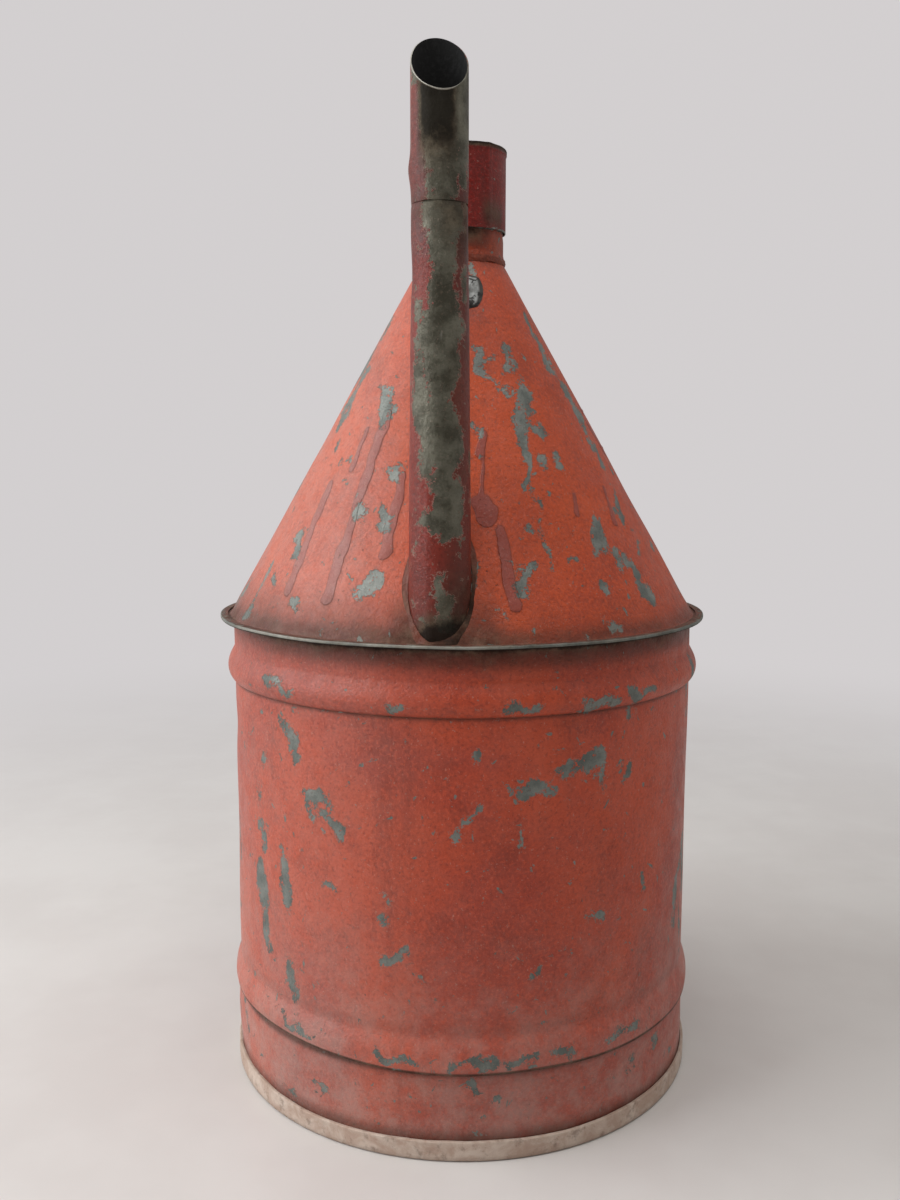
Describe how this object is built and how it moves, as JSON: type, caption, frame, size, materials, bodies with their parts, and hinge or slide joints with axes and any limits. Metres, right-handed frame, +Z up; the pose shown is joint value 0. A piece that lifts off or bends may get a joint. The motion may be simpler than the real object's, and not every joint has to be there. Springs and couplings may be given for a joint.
{
  "type": "spouted sheet-metal can",
  "caption": "Round sheet-metal can with a conical shoulder, a filler neck under a slip-on cap, a tall tapered pouring spout and a rear strap handle.",
  "frame": {"origin": "on the ground, at the centre of the foot hoop", "axes": "+Z up along the can's axis, -Y towards the spout, +Y towards the handle"},
  "size_m": [0.2994, 0.2994, 0.5883],
  "materials": {
    "painted_body": "weathered semi-gloss",
    "painted_spout": "worn through to grey metal",
    "painted_cap": "dull, stained",
    "painted_fittings": "weathered",
    "bare_steel": "dirty galvanised",
    "solder": "dull, lumpy"
  },
  "bodies": {
    "can": {"body_shell": "painted_body", "foot_band": "painted_body", "foot_hoop": "bare_steel", "bottom_plate": "bare_steel", "shoulder_cone": "painted_body", "filler_neck": "painted_fittings", "neck_solder": "solder", "spout_tube": "painted_spout", "spout_tip": "painted_spout", "spout_solder": "solder", "spout_brace": "painted_fittings", "brace_solder": "solder", "handle_strap": "painted_fittings", "rivet_upper_1": "painted_fittings", "rivet_upper_2": "painted_fittings", "rivet_lower_1": "painted_fittings", "rivet_lower_2": "painted_fittings"},
    "cap": {"cap_sleeve": "painted_cap", "cap_lid": "painted_cap"}
  },
  "joints": [
    {"name": "cap_lift", "type": "slide", "parent": "can", "child": "cap", "axis": [0, 0, 1], "range_m": [0, 0.06]}
  ]
}
